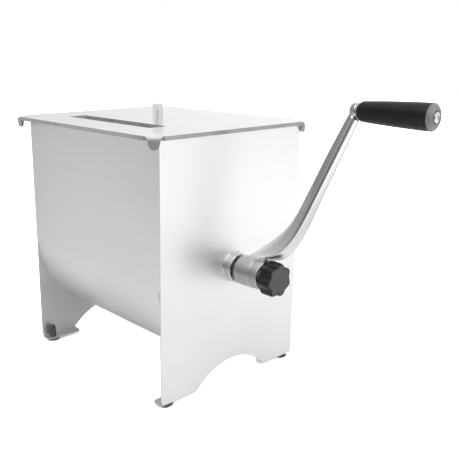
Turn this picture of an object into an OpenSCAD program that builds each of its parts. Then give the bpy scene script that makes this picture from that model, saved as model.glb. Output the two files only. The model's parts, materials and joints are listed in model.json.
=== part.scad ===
// Hand crank meat mixer: a deep U-shaped steel tank between two end plates that are
// also its legs, a removable paddle shaft on two nylon bushes, a cast crank with a
// turning grip, a star knob that holds the crank on, and a clear lid with a feed slot.
// All sizes are millimetres. +X points to the crank, +Z is up, the feet stand on z = 0.

/* [Tank] */
// Length over the outer faces of the two end plates
tank_len = 288; // [240:1:350]
// Width over the two long walls, and over the end plates
tank_w = 243; // [200:1:300]
// Height of an end plate, from the underside of its flanges
plate_h = 330; // [300:1:400]
// Thickness of the sheet steel
sheet = 1.5; // [1:0.1:2]
// Height of the trough's belly above the flanges' underside
belly_up = 36.5; // [32:0.5:60]
// Size of the cut across the two lower outer corners of an end plate
plate_corner = 4; // [2:0.5:8]

/* [Legs and feet] */
// Width of the gap between the two legs of an end plate
arch_w = 128; // [100:1:150]
// Rise of the arched cut-out above the flanges' underside
arch_rise = 29.6; // [20:0.2:34]
// Depth of the flange folded in under each leg
flange_d = 19.5; // [14:0.5:22]
// Radius of a flange's two free corners
flange_corner = 7; // [3:0.5:7]
// Diameter of a rubber foot's pad
foot_d = 20; // [16:0.5:22]
// Thickness of a rubber foot's pad
foot_h = 4; // [3:0.5:10]
// Diameter of the stem of a foot, above the flange
foot_stem_d = 9.6; // [8:0.2:10]
// Height of the stem of a foot, above the flange
foot_stem_h = 17; // [10:0.5:22]
// Diameter of the neck of a foot, in the flange
foot_neck_d = 7; // [5:0.2:7.4]
// Distance of a foot's centre from the plate's side edge
foot_in_y = 13.5; // [11:0.5:18]
// Distance of a foot's centre from the plate's outer face
foot_in_x = 9.2; // [7.8:0.1:11]

/* [Bearings] */
// Outer diameter of a bearing housing
housing_d = 39; // [34:1:46]
// Length of a bearing housing outside its plate
housing_out = 11.5; // [10:0.5:18]
// Length of a housing's spigot inside the tank
housing_in = 7; // [6:0.5:10]
// Outer diameter of a bush, and of its seal
bush_d = 24; // [22:0.5:26]
// Diameter of the shaft's journals
journal_d = 16; // [14:0.5:17]
// Radial running clearance of a journal in its bush
run_clear = 0.05; // [0.02:0.01:0.1]
// Thickness of a shaft seal
seal_t = 4; // [3:0.5:5]
// Diameter of the drain hole in the blind housing
vent_d = 6; // [4:0.5:8]

/* [Paddle shaft] */
// Diameter of the paddle shaft between its journals
shaft_d = 22; // [20:0.5:26]
// Outer diameter of the spindle's socket
socket_d = 30; // [26:0.5:34]
// Length of the spindle's socket
socket_len = 26; // [22:1:34]
// Diameter of the drive pin
pin_d = 6; // [5:0.5:7]
// Diameter of a paddle's rod
rod_d = 9; // [7:0.5:11]
// Depth of a rod in the shaft
rod_in = 5; // [3:0.5:7]
// Distance between neighbouring pairs of paddles along the shaft
paddle_pitch = 76; // [60:1:80]
// Length of a paddle's blade across the rod
blade_len = 62; // [40:1:70]
// Height of a paddle's blade along the rod
blade_h = 44; // [30:1:60]
// Thickness of a blade
blade_t = 3; // [2:0.5:4]
// Angle of a blade to the shaft
blade_pitch = 40; // [20:1:60]
// Gap between a blade's tip and the trough
blade_gap = 6; // [4:0.5:10]

/* [Crank] */
// Distance from the crank's axis to the grip's axis
crank_r = 216.5; // [170:0.5:230]
// Lean of the crank from upright at rest, towards +Y
crank_lean = 22; // [0:1:45]
// Gap between the front housing and the crank's hub
hub_gap = 5.5; // [5:0.5:10]
// Diameter of the hub
hub_d = 37.5; // [34:0.5:42]
// Length of the hub
hub_len = 38; // [34:0.5:44]
// Offset of the arm's end from the plate, measured to its outer face
arm_out = 119.5; // [112:0.5:135]
// Thickness of the straight arm at its end, measured along the crank's axis
arm_t = 10.5; // [8:0.5:14]
// Thickness of the straight arm at the elbow, measured along the crank's axis
elbow_t = 15; // [10:0.5:18]
// Width of the arm at its end
arm_w = 15; // [12:0.5:18]
// Width of the arm at the hub
arm_root_w = 24; // [18:0.5:28]
// Diameter of the boss that carries the grip
boss_d = 22; // [19:0.5:26]
// Height along the arm at which the elbow ends
elbow_r = 84; // [70:1:95]
// Width across the flats of the spindle's end in the hub
flats_w = 12; // [10:0.5:13]

/* [Grip] */
// Length of the grip
grip_len = 96; // [80:1:120]
// Diameter of the grip at the arm
grip_root_d = 24; // [20:0.5:26]
// Largest diameter of the grip
grip_tip_d = 30.8; // [26:0.2:36]
// Diameter of the bolt that the grip turns on
grip_bolt_d = 9; // [8:0.5:10]
// Radial running clearance of the grip on its bolt
grip_clear = 0.1; // [0.05:0.01:0.1]
// Diameter of the bolt's head
bolt_head_d = 12.5; // [11:0.5:19]
// Thickness of the washer between grip and arm
grip_washer_t = 1.2; // [0.8:0.1:2]

/* [Star knob] */
// Diameter over the lobes of the knob
knob_d = 43; // [36:0.5:48]
// Thickness of the knob's lobed body
knob_t = 20.5; // [12:0.5:24]
// Number of lobes
knob_lobes = 7; // [5:1:9]
// Diameter of the stud at the end of the spindle
stud_d = 10; // [8:0.5:10.5]
// Thickness of the washer under the knob
knob_washer_t = 1.5; // [1:0.1:3]

/* [Lid] */
// Thickness of the lid's clear sheet
lid_t = 5; // [4:0.5:6]
// Overhang of the lid past the tank on every side
lid_over = 13; // [11:0.5:18]
// Gap between a bent-down corner tab and the tank's corner
tab_gap = 0.7; // [0.4:0.1:2]
// Drop of a folded corner tab below the lid
tab_drop = 10.5; // [5:0.5:14]
// Play taken up by the lid, along X
lid_shift_x = -5.5; // [-6:0.1:6]
// Play taken up by the lid, along Y
lid_shift_y = -2; // [-3:0.1:3]
// Length of the feed slot
slot_len = 182; // [120:1:200]
// Width of the feed slot
slot_w = 28; // [18:0.5:40]
// Middle of the slot, along X from the tank's middle
slot_x = -13; // [-30:1:10]
// Middle of the slot, along Y from the tank's middle
slot_y = -69; // [-85:1:-50]
// Diameter of the lid's knob
lid_knob_d = 14; // [10:0.5:24]
// Height of the lid's knob
lid_knob_h = 20; // [16:1:30]

/* [Hidden] */

$fn = 96;
eps = 0.01;
slip = 0.2; // clearance between pieces that slide together by hand
air = 0.3; // gap between bodies that rest on one another
thread_clear = 0.1;
bend_in = 0.75; // inner radius of a fold in the sheet
corner_r = 3; // small corner radius on flat pieces

half_len = tank_len / 2;
half_w = tank_w / 2;
axis_up = belly_up + half_w; // the crank's axis above the flanges' underside
axis_z = foot_h + axis_up;
trough_r = half_w;
trough_ri = trough_r - sheet;
tank_top = foot_h + plate_h;
arch_r = (pow(arch_w / 2, 2) + pow(arch_rise, 2)) / (2 * arch_rise);
bend_out = bend_in + sheet;

hub_0 = housing_out + hub_gap;
hub_1 = hub_0 + hub_len;
knob_0 = hub_1 + knob_washer_t + air;
stud_end = knob_0 + knob_t * 0.7;
seat_depth = 3; // recess of the hub's nose for the washer
boss_t = arm_t - 2;
grip_0 = arm_out + air + grip_washer_t + air;
head_recess = 4;
head_dome = 5;
head_x = grip_0 + grip_len - head_recess;
bolt_tip = arm_out - boss_t;
nut_d = 1.67 * grip_bolt_d; // across the corners
nut_in = 3.6;
insert_d = 15;
insert_len = 12;
cap_in = 1.6; // rim of the knob left around its cover plate
cap_t = 1.8;
lobe_wave = knob_d * 0.033; // half the depth of a hollow between two lobes

lid_z = tank_top + air;
lid_x = tank_len + 2 * lid_over;
lid_y = tank_w + 2 * lid_over;
// Length along each edge at which a corner starts to bend down
tab_leg = 2 * lid_over - abs(lid_shift_x) - abs(lid_shift_y) - tab_gap * sqrt(2);
lid_screw_d = 4;
lid_screw_in = 12;

rod_tip = trough_ri - blade_gap;
rod_seat = shaft_d / 2 - rod_in;

// The origin lies under the middle of the whole object's bounding box
reach_x = half_len + head_x + head_dome;
x_lo = -half_len - lid_over + lid_shift_x;
grip_y = crank_r * sin(crank_lean);
y_hi = max(half_w + lid_over + lid_shift_y, grip_y + grip_tip_d / 2);
y_lo = -half_w - lid_over + lid_shift_y;
tank_x = -(reach_x + x_lo) / 2;
tank_y = -(y_hi + y_lo) / 2;

steel = "#c9cbcd";
steel_dark = "#a9acb0";
cast_metal = "#d5d7da";
rubber_black = "#1b1b1c";
plastic_black = "#232324";
plastic_grey = "#55565a";
nylon_white = "#efefea";
clear_sheet = [0.88, 0.91, 0.92, 0.4];

// ---- Helpers ----

// Everything is drawn about the tank's middle, on the floor
module at_tank() {
    translate([tank_x, tank_y, 0]) children();
}

// Local frame of the shaft: +X outwards along the axis, x = 0 at the front plate's outer face
module at_shaft() {
    at_tank() translate([half_len, 0, axis_z]) children();
}

// The crank's own frame: the arm runs along +Z, turned by its lean at rest
module at_crank() {
    at_shaft() rotate([-crank_lean, 0, 0]) children();
}

// A rod along X from x0 to x1
module rod_x(d, x0, x1) {
    translate([x0, 0, 0]) rotate([0, 90, 0]) cylinder(d = d, h = x1 - x0);
}

// A ring along X from x0 to x1
module ring_x(d, bore, x0, x1) {
    difference() {
        rod_x(d, x0, x1);
        rod_x(bore, x0 - 1, x1 + 1);
    }
}

// A body turned about X; points are [x, radius]
module turned_x(points) {
    rotate([0, 90, 0]) rotate_extrude() polygon([for (p = points) [p[1], p[0]]]);
}

// A rectangle with its centre at the origin and arcs at its corners
module round_rect(x, y, r) {
    square([x - 2 * r, y], center = true);
    square([x, y - 2 * r], center = true);
    for (i = [-1, 1], j = [-1, 1])
        translate([i * (x / 2 - r), j * (y / 2 - r)]) circle(r = r);
}

// Moves a child to the rear plate, facing the other way
module to_rear() {
    at_tank() translate([-half_len, 0, axis_z]) rotate([0, 0, 180]) children();
}

// ---- Tank ----

// One end plate at x = 0 with its outer face towards +X, folded flanges towards -X
module end_plate() {
    leg_w = (tank_w - arch_w) / 2;
    difference() {
        union() {
            translate([-sheet, 0, 0]) rotate([90, 0, 90]) linear_extrude(sheet) difference() {
                translate([-half_w, bend_out]) square([tank_w, plate_h - bend_out]);
                translate([0, arch_rise - arch_r]) circle(r = arch_r);
                for (s = [-1, 1]) corner_cut(s);
            }
            for (s = [-1, 1]) {
                leg_mid = s * (half_w - leg_w / 2);
                translate([-bend_out, leg_mid, bend_out]) fold(leg_w);
                translate([-flange_d / 2 - bend_out / 2, leg_mid, 0]) flange(leg_w);
            }
        }
        translate([0, 0, -1]) for (s = [-1, 1]) foot_hole(s);
        translate([-sheet - 1, 0, axis_up]) rod_x(bush_d + 8 + 2 * slip, 0, sheet + 2);
        translate([-flange_d - 1, 0, arch_rise - arch_r]) rod_x(2 * arch_r, 0, flange_d + 2);
    }
}

// Takes the sharp lower corner off a leg, seen along X
module corner_cut(s) {
    translate([s * half_w, bend_out]) rotate(45) square(plate_corner, center = true);
}

// Quarter-round fold along Y, its centre line at the origin
module fold(w) {
    intersection() {
        rotate([90, 0, 0]) translate([0, 0, -w / 2]) difference() {
            cylinder(r = bend_out, h = w);
            translate([0, 0, -1]) cylinder(r = bend_in, h = w + 2);
        }
        translate([0, -w / 2, -bend_out]) cube([bend_out, w, bend_out]);
    }
}

// Flange under one leg, lying flat, with round free corners
module flange(w) {
    d = flange_d - bend_out;
    linear_extrude(sheet) {
        translate([-d / 2 + flange_corner, -w / 2]) square([d - flange_corner, w]);
        translate([-d / 2, -w / 2 + flange_corner]) square([d, w - 2 * flange_corner]);
        for (j = [-1, 1])
            translate([-d / 2 + flange_corner, j * (w / 2 - flange_corner)]) circle(r = flange_corner);
    }
}

module foot_hole(s) {
    translate([-foot_in_x, s * (half_w - foot_in_y), 0])
        cylinder(d = foot_neck_d + 2 * slip, h = sheet + 2);
}

module front_end_plate() {
    color(steel) at_tank() translate([half_len, 0, foot_h]) end_plate();
}

module rear_end_plate() {
    color(steel) at_tank() translate([-half_len, 0, foot_h]) rotate([0, 0, 180]) end_plate();
}

// U-shaped sheet between the plates, its round bottom about the shaft's axis
module trough_shell() {
    inner_len = tank_len - 2 * sheet;
    wall_h = tank_top - axis_z;
    color(steel) at_tank() translate([-inner_len / 2, 0, axis_z]) rotate([90, 0, 90])
        linear_extrude(inner_len) {
            difference() {
                circle(r = trough_r);
                circle(r = trough_ri);
                translate([-half_w - 1, 0]) square([tank_w + 2, half_w + 1]);
            }
            for (s = [-1, 1])
                translate([s * (half_w - sheet / 2) - sheet / 2, -eps]) square([sheet, wall_h + eps]);
        }
}

// ---- Bearings and seals ----

// A housing welded into its plate: flange outside, spigot inside, bore for bush and seal
module housing(blind) {
    r = housing_d / 2;
    spigot_r = bush_d / 2 + 4;
    lip = 1.2;
    floor_x = blind ? housing_out - 3 : housing_out - 2;
    difference() {
        turned_x([[-sheet - housing_in, 0], [-sheet - housing_in, spigot_r], [0, spigot_r], [0, r],
            [2.5, r], [2.5, r - lip], [housing_out - 3, r - lip], [housing_out - 3, r],
            [housing_out - 1, r], [housing_out, r - 1], [housing_out, 0]]);
        rod_x(bush_d, -sheet - housing_in - 1, floor_x);
        rod_x(blind ? vent_d : journal_d + 3, 0, housing_out + 1);
    }
}

// Nylon bush between the housing's floor and the seal
module bush(floor_x) {
    ring_x(bush_d, journal_d + 2 * run_clear, -sheet - housing_in + seal_t, floor_x);
}

// Lip seal at the tank's side of a bush, with a turned-in lip
module shaft_seal() {
    x0 = -sheet - housing_in;
    lip_r = (journal_d + bush_d) / 4 + 0.5;
    difference() {
        ring_x(bush_d, journal_d + 2 * run_clear, x0, x0 + seal_t);
        turned_x([[x0 - 1, 0], [x0 - 1, lip_r], [x0 + 1, lip_r],
            [x0 + seal_t - 1.2, journal_d / 2 + 0.6], [x0 + seal_t - 1.2, 0]]);
    }
}

module front_bearing_housing() {
    color(steel_dark) at_shaft() housing(false);
}

module rear_bearing_housing() {
    color(steel_dark) to_rear() housing(true);
}

module front_bush() {
    color(nylon_white) at_shaft() bush(housing_out - 2);
}

module rear_bush() {
    color(nylon_white) to_rear() bush(housing_out - 3);
}

module front_shaft_seal() {
    color(rubber_black) at_shaft() shaft_seal();
}

module rear_shaft_seal() {
    color(rubber_black) to_rear() shaft_seal();
}

// ---- Feet ----

// Push-in rubber foot: pad below the flange, neck in it, tapered stem above it
module foot(side_x, side_y) {
    neck_r = foot_neck_d / 2;
    stem_r = foot_stem_d / 2;
    pad_r = foot_d / 2;
    z0 = foot_h + sheet + 0.05;
    color(rubber_black) at_tank()
        translate([side_x * (half_len - foot_in_x), side_y * (half_w - foot_in_y), 0])
            rotate_extrude() polygon([[0, 0], [pad_r - 1.5, 0], [pad_r, 1.5], [pad_r, foot_h - 0.8],
                [pad_r - 0.8, foot_h], [neck_r, foot_h], [neck_r, z0], [stem_r, z0],
                [stem_r, z0 + 2], [stem_r - 1, z0 + foot_stem_h - 2],
                [stem_r - 2.5, z0 + foot_stem_h], [0, z0 + foot_stem_h]]);
}

// ---- Shaft and paddles ----

socket_0 = -sheet - housing_in - 1; // face of the socket next to the front seal
socket_floor = socket_0 - 4;
shaft_front = socket_floor - 0.2;
shaft_wide_0 = socket_0 - socket_len - 0.3; // front shoulder of the wide part
rear_shoulder = -tank_len + sheet + housing_in + 1;
rear_tip = -tank_len - housing_out + 3.5;
pin_x = socket_0 - socket_len * 0.62;
clip_t = 1.2;
clip_bore = pin_d - 1.6;

// Spindle: stud, flats for the hub, journal, and the socket that takes the paddle shaft
module drive_spindle() {
    color(steel_dark) at_crank() difference() {
        union() {
            rod_x(stud_d, hub_1 - seat_depth - 2, stud_end);
            intersection() {
                rod_x(journal_d, hub_0 + 2, hub_1 - seat_depth - 1);
                translate([hub_0 + 2, -flats_w / 2, -journal_d])
                    cube([hub_len, flats_w, 2 * journal_d]);
            }
            rod_x(journal_d, socket_0 - 1, hub_0 + 2);
            rod_x(socket_d, socket_0 - socket_len, socket_0);
        }
        rod_x(journal_d + 2 * run_clear, socket_0 - socket_len - 1, socket_floor);
        translate([pin_x, 0, 0]) rotate([90, 0, 0])
            cylinder(d = pin_d + 2 * run_clear, h = socket_d + 2, center = true);
    }
}

// Cross pin of the socket, in the pin's own frame with its head at +Z
module at_pin() {
    at_crank() translate([pin_x, 0, 0]) rotate([90, 0, 0]) children();
}

module drive_pin() {
    head_t = 2.5;
    tail = socket_d / 2 + clip_t + 1.5;
    color(steel_dark) at_pin() difference() {
        union() {
            translate([0, 0, -tail]) cylinder(d = pin_d, h = tail + socket_d / 2 + head_t);
            translate([0, 0, socket_d / 2 + slip]) cylinder(d = pin_d + 4, h = head_t);
        }
        translate([0, 0, -socket_d / 2 - slip - clip_t]) ring_z(pin_d + 2, clip_bore, clip_t);
    }
}

// Retaining ring in the groove at the pin's tail
module drive_pin_clip() {
    color(steel) at_pin() translate([0, 0, -socket_d / 2 - slip - clip_t + 0.1])
        ring_z(pin_d + 4.5, clip_bore + 0.1, clip_t - 0.2);
}

module ring_z(d, bore, h) {
    difference() {
        cylinder(d = d, h = h);
        translate([0, 0, -1]) cylinder(d = bore, h = h + 2);
    }
}

// Turning angle of each paddle about the shaft
function paddle_turn(i) = 90 * floor((i - 1) / 2) + 180 * ((i - 1) % 2);
// Place of each paddle along the shaft
function paddle_x(i) = -half_len - 6 + paddle_pitch * (1 - floor((i - 1) / 2));

module at_paddle(i) {
    at_crank() translate([paddle_x(i), 0, 0]) rotate([paddle_turn(i), 0, 0]) children();
}

module paddle_shaft() {
    color(steel) difference() {
        at_crank() difference() {
            union() {
                rod_x(journal_d, shaft_wide_0 - 1, shaft_front);
                rod_x(shaft_d, rear_shoulder, shaft_wide_0);
                rod_x(journal_d, rear_tip, rear_shoulder + 1);
            }
            translate([pin_x, 0, 0]) rotate([90, 0, 0])
                cylinder(d = pin_d + 2 * run_clear, h = socket_d + 2, center = true);
        }
        for (i = [1:6])
            at_paddle(i) translate([0, 0, rod_seat]) cylinder(d = rod_d + 0.1, h = rod_in + 4);
    }
}

// A paddle: a rod set in the shaft, with a blade whose outer edge follows the trough
module paddle(i) {
    color(steel) at_paddle(i) {
        translate([0, 0, rod_seat]) cylinder(d = rod_d, h = rod_tip - 12 - rod_seat);
        intersection() {
            translate([0, 0, rod_tip - blade_h / 2]) rotate([0, 0, blade_pitch])
                rotate([90, 0, 0]) linear_extrude(blade_t, center = true)
                    round_rect(blade_len, blade_h, 8);
            rod_x(2 * rod_tip, -blade_len, blade_len);
        }
    }
}

// ---- Crank ----

// Point at t on a curve with four control points
function curve(p, t) = pow(1 - t, 3) * p[0] + 3 * pow(1 - t, 2) * t * p[1]
    + 3 * (1 - t) * t * t * p[2] + pow(t, 3) * p[3];

// Side view of the arm: [x, height along the arm]. The root is a web that leaves the
// hub along most of its length and bends over the knob; the straight part leans outwards.
elbow_x = hub_1 + 40.5;
boss_foot = crank_r - boss_d / 2;
arm_top = crank_r + boss_d / 2;
over_knob = knob_d / 2 + 2;
web_front = [[hub_1 + 1, over_knob], [hub_1 + 25, over_knob],
    [elbow_x - 6.5, elbow_r - 32], [elbow_x, elbow_r]];
web_back = [[elbow_x - elbow_t, elbow_r + 4], [elbow_x - elbow_t - 6, elbow_r - 20],
    [elbow_x - elbow_t - 22, elbow_r - 35], [hub_0 + 5, hub_d / 2]];
arm_side = concat([[hub_1 - 1, 6], [hub_1 - 1, over_knob - 2]],
    [for (t = [0:0.125:1]) curve(web_front, t)],
    [[arm_out, boss_foot], [arm_out, arm_top], [bolt_tip, arm_top], [arm_out - arm_t, boss_foot]],
    [for (t = [0:0.125:1]) curve(web_back, t)], [[hub_0 + 4, 6]]);

module arm_blank() {
    root = arm_root_w / 2;
    tip = arm_w / 2;
    intersection() {
        rotate([90, 0, 0]) linear_extrude(arm_root_w + 2, center = true) polygon(arm_side);
        rotate([90, 0, 90]) linear_extrude(arm_out + 10) {
            polygon([[-root, 0], [root, 0], [root - 0.5, over_knob], [tip + 2.2, elbow_r],
                [tip, crank_r], [-tip, crank_r], [-tip - 2.2, elbow_r], [-root + 0.5, over_knob]]);
            translate([0, crank_r]) circle(d = boss_d);
        }
    }
}

module crank_arm() {
    r = hub_d / 2;
    color(cast_metal) at_crank() difference() {
        union() {
            turned_x([[hub_0, 0], [hub_0, r - 1], [hub_0 + 1, r], [hub_1 - 15, r], [hub_1 - 14, r - 2],
                [hub_1 - 12.5, r - 2], [hub_1 - 11.5, r - 0.6], [hub_1 - 1.2, r - 0.6], [hub_1, r - 1.8],
                [hub_1, 0]]);
            arm_blank();
            translate([0, 0, crank_r]) rod_x(boss_d, bolt_tip, arm_out);
        }
        intersection() {
            rod_x(journal_d + 2 * run_clear, hub_0 - 1, hub_1 + 1);
            translate([hub_0 - 1, -flats_w / 2 - run_clear, -journal_d])
                cube([hub_len + 2, flats_w + 2 * run_clear, 2 * journal_d]);
        }
        rod_x(journal_d + 2 * slip, hub_0 - 1, hub_0 + 2.2);
        rod_x(journal_d + 2 * slip, hub_1 - seat_depth - 1, hub_1 + 1);
        translate([0, 0, crank_r]) rod_x(grip_bolt_d + 0.1, bolt_tip - 1, arm_out + 1);
        translate([0, 0, crank_r]) rod_x(nut_d + 1, bolt_tip - 1, bolt_tip + nut_in);
    }
}

module knob_washer() {
    color(steel) at_crank()
        ring_x(hub_d - 8, stud_d + 2 * slip, hub_1 + 0.05, hub_1 + knob_washer_t);
}

// ---- Star knob ----

// Lobed outline: a circle whose radius rises and falls once for each lobe
module star_outline(inset) {
    function rim(a) = knob_d / 2 - inset - lobe_wave * (1 - cos(knob_lobes * a));
    polygon([for (a = [0:4:356]) rim(a) * [cos(a), sin(a)]]);
}

module star_knob() {
    x1 = knob_0 + knob_t;
    color(plastic_black) at_crank() difference() {
        union() {
            translate([knob_0 + 2.5, 0, 0]) rotate([90, 0, 90]) linear_extrude(knob_t - 2.5)
                star_outline(0);
            rod_x(knob_d * 0.72, knob_0, knob_0 + 3);
        }
        rod_x(insert_d, knob_0 - 1, knob_0 + insert_len);
        rod_x(stud_d + 2, knob_0, stud_end + 1);
        translate([x1 - cap_t, 0, 0]) rotate([90, 0, 90]) linear_extrude(cap_t + 1) star_outline(cap_in);
    }
}

module knob_insert() {
    color("#b89a55") at_crank() ring_x(insert_d, stud_d + 2 * thread_clear, knob_0 + 0.1, knob_0 + insert_len);
}

// Cover plate in the knob's face, with the same lobed outline
module knob_cap() {
    color(plastic_grey) at_crank() translate([knob_0 + knob_t - cap_t + 0.05, 0, 0]) rotate([90, 0, 90])
        linear_extrude(cap_t - 0.05) star_outline(cap_in + 0.1);
}

// ---- Grip ----

module at_grip() {
    at_crank() translate([0, 0, crank_r]) children();
}

// Tapered grip with a chamfered root and a rounded, recessed end
module grip() {
    r0 = grip_root_d / 2;
    r1 = grip_tip_d / 2;
    x0 = grip_0;
    x1 = grip_0 + grip_len;
    color(plastic_black) at_grip() difference() {
        turned_x([[x0, 0], [x0, r0 - 2.5], [x0 + 3, r0], [x0 + grip_len * 0.45, r0 + (r1 - r0) * 0.6],
            [x0 + grip_len * 0.8, r1 - 0.2], [x1 - 7, r1], [x1 - 3, r1 - 1], [x1 - 0.8, r1 - 3],
            [x1, r1 - 6], [x1, 0]]);
        rod_x(grip_bolt_d + 2 * grip_clear, x0 - 1, x1 + 1);
        rod_x(bolt_head_d + 1.2, head_x, x1 + 1);
    }
}

// Shoulder bolt: domed head in the grip's recess, shank through the boss
module grip_bolt() {
    r = bolt_head_d / 2;
    x0 = head_x + air;
    color(steel) at_grip() {
        rod_x(grip_bolt_d, bolt_tip + 0.5, x0 + 0.5);
        turned_x([[x0, 0], [x0, r], [x0 + 2.5, r], [x0 + 4, r - 1.6], [head_x + head_dome, r - 5],
            [head_x + head_dome, 0]]);
    }
}

module grip_washer() {
    color(steel) at_grip() ring_x(grip_root_d - 5, grip_bolt_d + 0.2, arm_out + air / 2,
        arm_out + air / 2 + grip_washer_t);
}

// Thin nut sunk in the back of the boss
module grip_nut() {
    color(steel_dark) at_grip() difference() {
        translate([bolt_tip + 0.3, 0, 0]) rotate([0, 90, 0]) cylinder(d = nut_d, h = nut_in - 0.5, $fn = 6);
        rod_x(grip_bolt_d + 0.1, bolt_tip - 1, bolt_tip + nut_in + 1);
    }
}

// ---- Lid ----

module at_lid() {
    at_tank() translate([lid_shift_x, lid_shift_y, lid_z]) children();
}

// Flat part of the lid, its corners ending where the bends start
module lid_outline() {
    x = lid_x / 2;
    y = lid_y / 2;
    polygon([[x - tab_leg, -y], [x, -y + tab_leg], [x, y - tab_leg], [x - tab_leg, y],
        [-x + tab_leg, y], [-x, y - tab_leg], [-x, -y + tab_leg], [-x + tab_leg, -y]]);
}

// A corner tab: the lid's corner bent down, the bend as thick as the sheet. Its outer
// face is at x = 0. In plan it stays within the lid's edges, and below it ends in an arc.
module corner_tab() {
    low = tab_leg / sqrt(2) - lid_t - slip;
    function side(a) = [low + lid_t * (1 - cos(a)), lid_t * sin(a)];
    bend = [for (a = [0:15:90]) lid_t * [cos(a) - 1, sin(a)]];
    intersection() {
        translate([-2 * lid_t, 0, 0]) rotate([90, 0, 90]) linear_extrude(2 * lid_t)
            polygon(concat([for (a = [-90:11.25:90]) [low * sin(a), -tab_drop * cos(a)]],
                [for (a = [15:15:90]) side(a)], [for (a = [90:-15:15]) [-side(a)[0], side(a)[1]]]));
        translate([0, 2 * tab_leg, 0]) rotate([90, 0, 0]) linear_extrude(4 * tab_leg)
            polygon(concat([[-lid_t, -tab_drop - 1], [0, -tab_drop - 1]], bend,
                [[-lid_t - 1, lid_t], [-lid_t - 1, 0], [-lid_t, 0]]));
    }
}

// Place of the corner tab on corner i, j, turned to face out of the corner
module at_corner(i, j) {
    translate([i * (lid_x / 2 - tab_leg / 2), j * (lid_y / 2 - tab_leg / 2), 0])
        rotate(atan2(j, i)) translate([lid_t, 0, 0]) children();
}

module lid() {
    color(clear_sheet) at_lid() difference() {
        union() {
            linear_extrude(lid_t) difference() {
                lid_outline();
                translate([slot_x - lid_shift_x, slot_y - lid_shift_y])
                    round_rect(slot_len, slot_w, corner_r);
            }
            for (i = [-1, 1], j = [-1, 1]) at_corner(i, j) corner_tab();
        }
        translate([0, 0, -1]) cylinder(d = lid_screw_d + 0.4, h = lid_t + 2);
    }
}

module lid_knob() {
    r = lid_knob_d / 2;
    color(clear_sheet) at_lid() translate([0, 0, lid_t + 0.05]) difference() {
        rotate_extrude() polygon([[0, 0], [r, 0], [r, lid_knob_h - 1], [r - 1, lid_knob_h], [0, lid_knob_h]]);
        translate([0, 0, -1]) cylinder(d = lid_screw_d + 0.1, h = lid_screw_in + 1);
    }
}

module lid_knob_screw() {
    color(steel) at_lid() {
        translate([0, 0, -1]) cylinder(d = lid_screw_d, h = lid_t + lid_screw_in);
        translate([0, 0, -2.6]) cylinder(d1 = 5, d2 = 7.5, h = 1);
        translate([0, 0, -1.6]) cylinder(d = 7.5, h = 1.5);
    }
}

front_end_plate();
rear_end_plate();
trough_shell();
front_bearing_housing();
rear_bearing_housing();
front_bush();
rear_bush();
front_shaft_seal();
rear_shaft_seal();
foot(1, -1);  // foot_front_near
foot(1, 1);  // foot_front_far
foot(-1, -1);  // foot_rear_near
foot(-1, 1);  // foot_rear_far
drive_spindle();
drive_pin();
drive_pin_clip();
paddle_shaft();
paddle(1);  // paddle_1
paddle(2);  // paddle_2
paddle(3);  // paddle_3
paddle(4);  // paddle_4
paddle(5);  // paddle_5
paddle(6);  // paddle_6
crank_arm();
knob_washer();
star_knob();
knob_insert();
knob_cap();
grip();
grip_bolt();
grip_washer();
grip_nut();
lid();
lid_knob();
lid_knob_screw();
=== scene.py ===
# %% [markdown]
# # Hand crank meat mixer
#
# The mixer is a deep U-shaped steel tank that stands on its own end plates. A cast crank
# with a black grip turns a paddle shaft in two nylon bushes, a star knob holds the crank
# on its spindle, and a clear slotted lid rests on top. The sizes come from the packed
# model, so the script loads that first.

# %% Load the imported model
import json
import math
from math import cos, pi, radians, sin

import bmesh
import bpy
from mathutils import Matrix, Vector


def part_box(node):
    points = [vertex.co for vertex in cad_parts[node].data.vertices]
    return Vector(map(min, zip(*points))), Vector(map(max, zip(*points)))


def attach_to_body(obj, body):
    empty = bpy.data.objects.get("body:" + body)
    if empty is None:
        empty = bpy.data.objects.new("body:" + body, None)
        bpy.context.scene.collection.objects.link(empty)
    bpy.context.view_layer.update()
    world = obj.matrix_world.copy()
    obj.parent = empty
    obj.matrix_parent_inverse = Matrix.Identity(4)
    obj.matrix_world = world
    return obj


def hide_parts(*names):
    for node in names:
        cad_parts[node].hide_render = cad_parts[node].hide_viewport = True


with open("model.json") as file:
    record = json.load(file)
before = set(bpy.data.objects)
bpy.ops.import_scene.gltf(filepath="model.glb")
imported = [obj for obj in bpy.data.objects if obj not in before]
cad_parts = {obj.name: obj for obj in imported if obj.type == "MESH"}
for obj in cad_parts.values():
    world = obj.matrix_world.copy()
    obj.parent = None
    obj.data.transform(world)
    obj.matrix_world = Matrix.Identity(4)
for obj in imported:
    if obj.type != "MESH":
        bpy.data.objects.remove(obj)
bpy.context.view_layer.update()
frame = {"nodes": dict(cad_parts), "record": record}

# %% [markdown]
# The camera stands to the right of the front corner, a little above the lid. Its place,
# turn and lens are written as plain numbers, and the three axes of the view follow from
# the yaw, the pitch and a slight roll.

# %% Camera
CAMERA_PLACE = (0.63778, -0.60369, 0.43637)
YAW, PITCH, ROLL = radians(48.41), radians(15.48), radians(0.15)
SENSOR_WIDTH, FOCAL_LENGTH = 36, 53.99
SHIFT_X, SHIFT_Y = 0.0913, 0.0130


def view_matrix(place, yaw, pitch, roll):
    back = Vector((sin(yaw) * cos(pitch), -cos(yaw) * cos(pitch), sin(pitch)))
    level = Vector((cos(yaw), sin(yaw), 0))
    upright = back.cross(level)
    right = level * cos(roll) + upright * sin(roll)
    up = upright * cos(roll) - level * sin(roll)
    return Matrix.Translation(place) @ Matrix((right, up, back)).transposed().to_4x4()


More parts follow.
